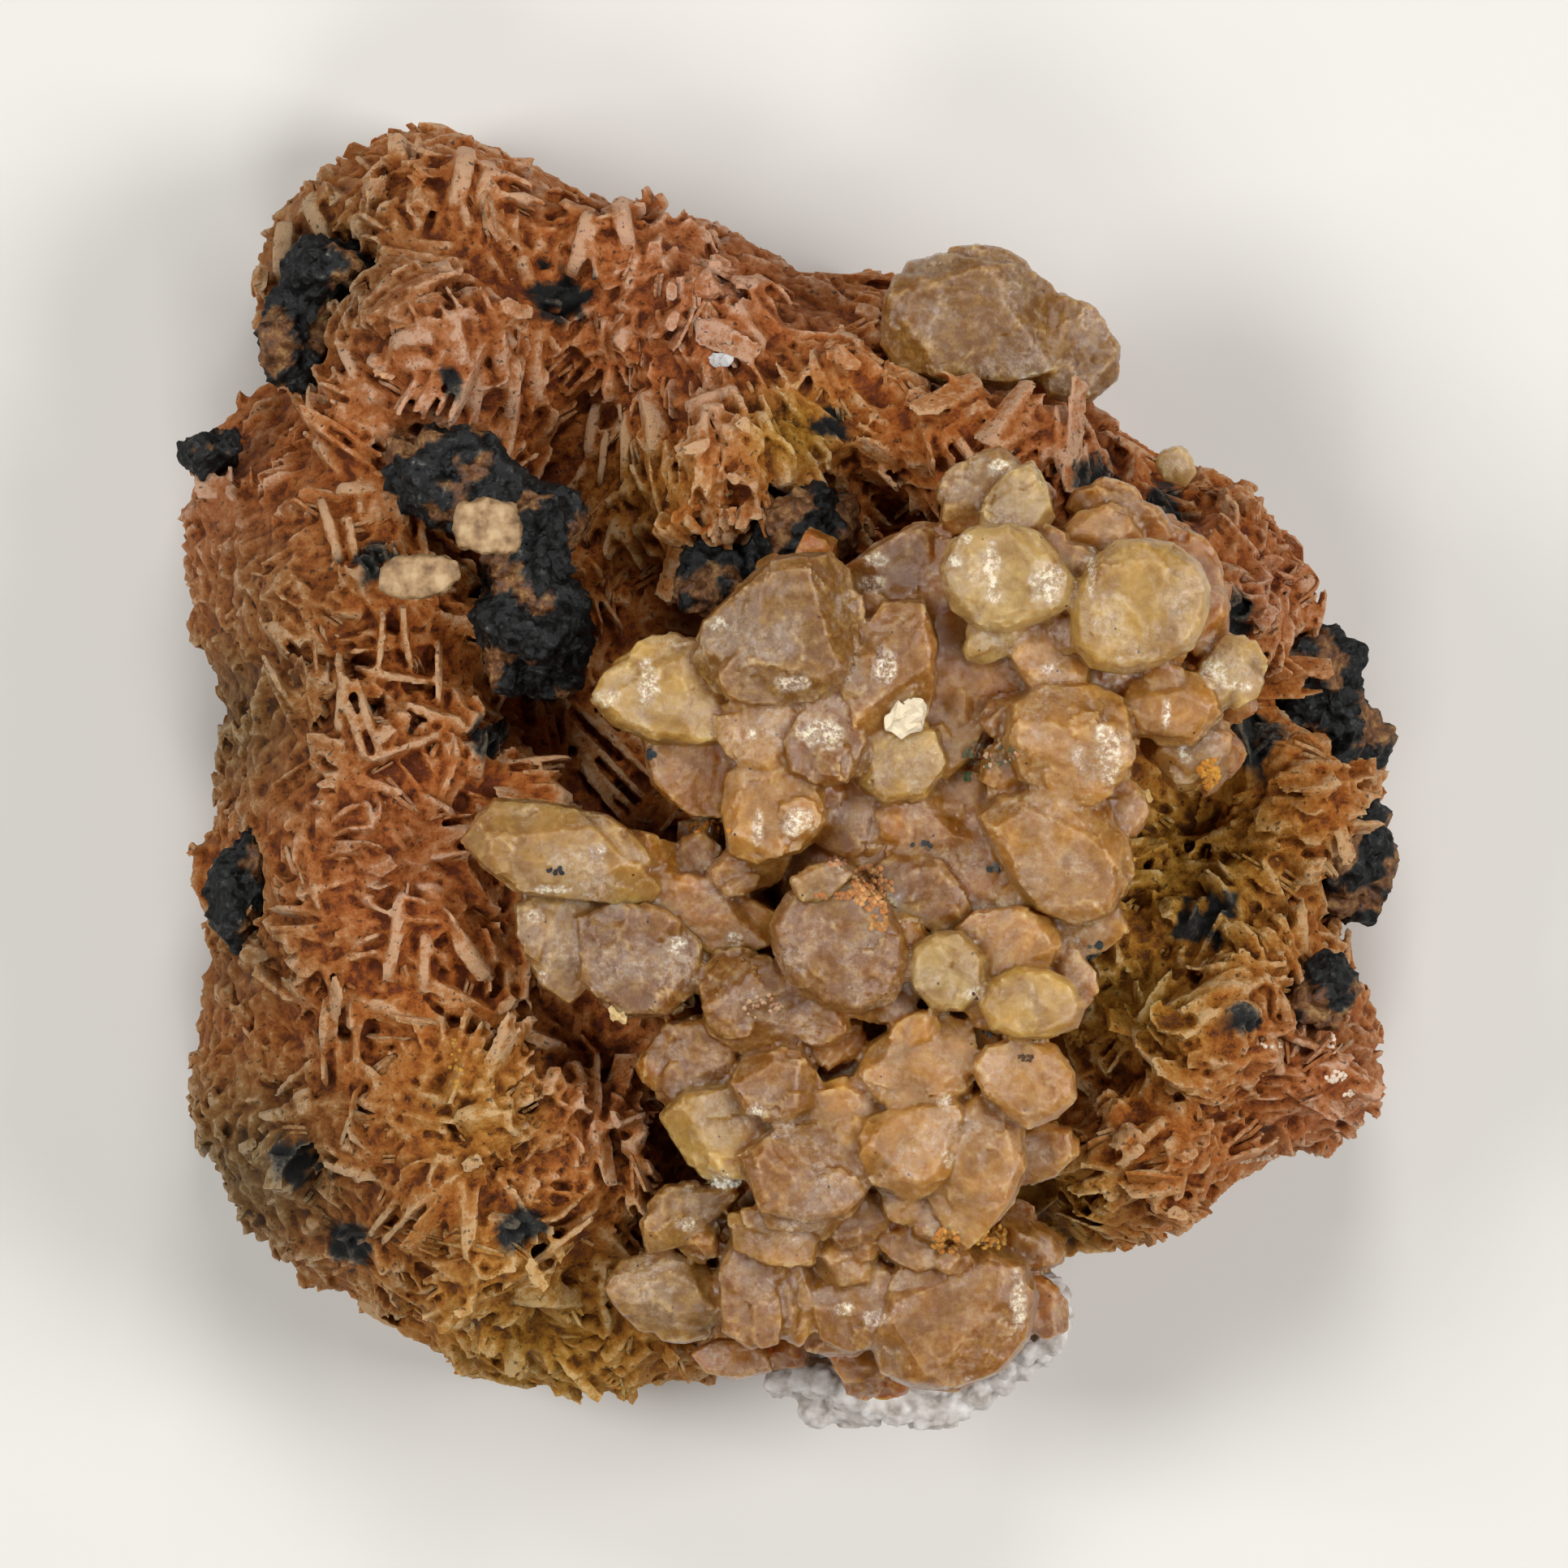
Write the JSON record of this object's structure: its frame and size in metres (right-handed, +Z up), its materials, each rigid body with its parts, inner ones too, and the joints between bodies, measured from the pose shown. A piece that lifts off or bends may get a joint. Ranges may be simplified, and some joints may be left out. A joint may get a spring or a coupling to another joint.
{
  "type": "mineral specimen of barite with cerussite",
  "caption": "Hand-sized mineral specimen: a mass of pink-orange bladed barite that carries a mound of honey-coloured cerussite crystals, with galena lumps and a white crust.",
  "frame": {"origin": "middle of the flat broken base, on the table", "axes": "+Z up off the table towards the crystal face, +X to the right and +Y to the top as one looks down on that face"},
  "size_m": [0.0618, 0.066, 0.0327],
  "materials": {
    "barite": "rough, bladed, satin crystal faces",
    "pale_barite": "satin",
    "cerussite": "milky translucent, with a soft adamantine gloss",
    "galena": "dark granular, dull metallic sparkle",
    "white_crust": "matt granular"
  },
  "bodies": {
    "root": {"barite_mass": "barite", "cerussite_cluster": "cerussite", "cerussite_top": "cerussite", "cerussite_rim": "cerussite", "pale_block": "pale_barite", "galena_left": "galena", "galena_middle": "galena", "galena_right_upper": "galena", "galena_right_lower": "galena", "galena_lower_right": "galena", "galena_top_left": "galena", "galena_left_edge": "galena", "galena_left_lower": "galena", "white_crust": "white_crust"}
  },
  "joints": []
}
